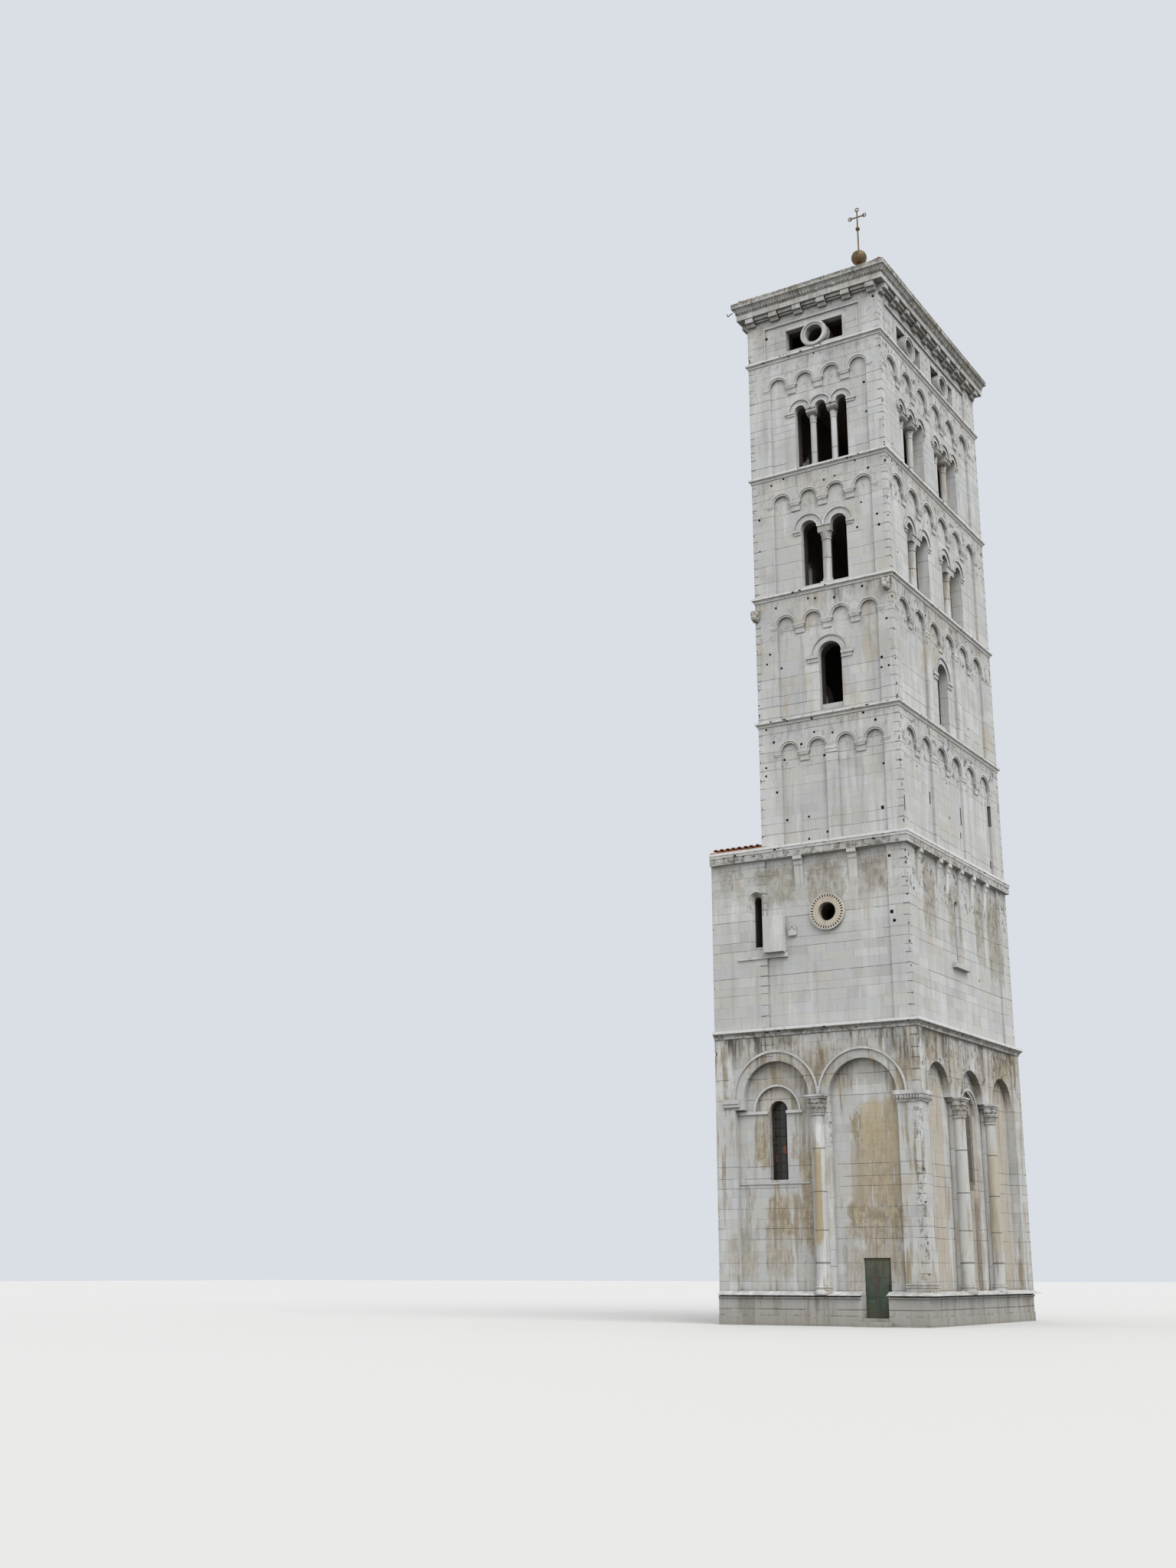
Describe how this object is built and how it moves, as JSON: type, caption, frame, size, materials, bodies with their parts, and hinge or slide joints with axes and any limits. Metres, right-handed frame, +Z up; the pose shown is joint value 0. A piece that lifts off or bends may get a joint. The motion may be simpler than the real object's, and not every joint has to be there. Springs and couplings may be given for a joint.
{
  "type": "stone bell tower",
  "caption": "Hollow stone bell tower with blind arcades, arched belfry windows on colonnettes, a bracketed cornice, a tiled pyramid roof and a hinged base door.",
  "frame": {"origin": "on the ground, on the vertical axis of the shaft", "axes": "+Z up, the front with the door faces -Y, the long open side faces +X"},
  "size_m": [7.122, 10.002, 39.8939],
  "materials": {
    "ashlar": "matt",
    "moulding": "matt",
    "roof_tile": "matt",
    "floor_timber": "matt",
    "bronze": "weathered",
    "door_paint": "weathered",
    "iron": "matt"
  },
  "bodies": {
    "tower": {"plinth": "moulding", "door_threshold": "moulding", "ground_front_wall_left": "ashlar", "ground_front_wall_right": "ashlar", "ground_front_wall_over_door": "ashlar", "ground_right_wall": "ashlar", "ground_back_wall": "ashlar", "party_wall": "ashlar", "half_columns": "ashlar", "string_courses": "moulding", "oculus_front_wall": "ashlar", "oculus_right_wall": "ashlar", "oculus_back_wall": "ashlar", "hanging_strips": "ashlar", "window_surrounds": "ashlar", "wing_roof": "roof_tile", "blind_front_wall": "ashlar", "blind_right_wall": "ashlar", "blind_back_wall": "ashlar", "blind_left_wall": "ashlar", "single_front_wall": "ashlar", "single_right_wall": "ashlar", "single_back_wall": "ashlar", "single_left_wall": "ashlar", "bifora_front_wall": "ashlar", "bifora_right_wall": "ashlar", "bifora_back_wall": "ashlar", "bifora_left_wall": "ashlar", "trifora_front_wall": "ashlar", "trifora_right_wall": "ashlar", "trifora_back_wall": "ashlar", "trifora_left_wall": "ashlar", "attic_front_wall": "ashlar", "attic_right_wall": "ashlar", "attic_back_wall": "ashlar", "attic_left_wall": "ashlar", "arcade_corbels": "ashlar", "colonnettes": "ashlar", "cornice_modillions": "moulding", "crown_cornice": "moulding", "tower_roof": "roof_tile", "storey_floors": "floor_timber", "finial": "bronze", "door_hinges": "iron"},
    "door_leaf": {"door": "door_paint"}
  },
  "joints": [
    {"name": "door_hinge", "type": "hinge", "parent": "tower", "child": "door_leaf", "pos_m": [0.4215, -4.224, 0.5], "axis": [0, 0, 1], "range_deg": [0, 90]}
  ]
}
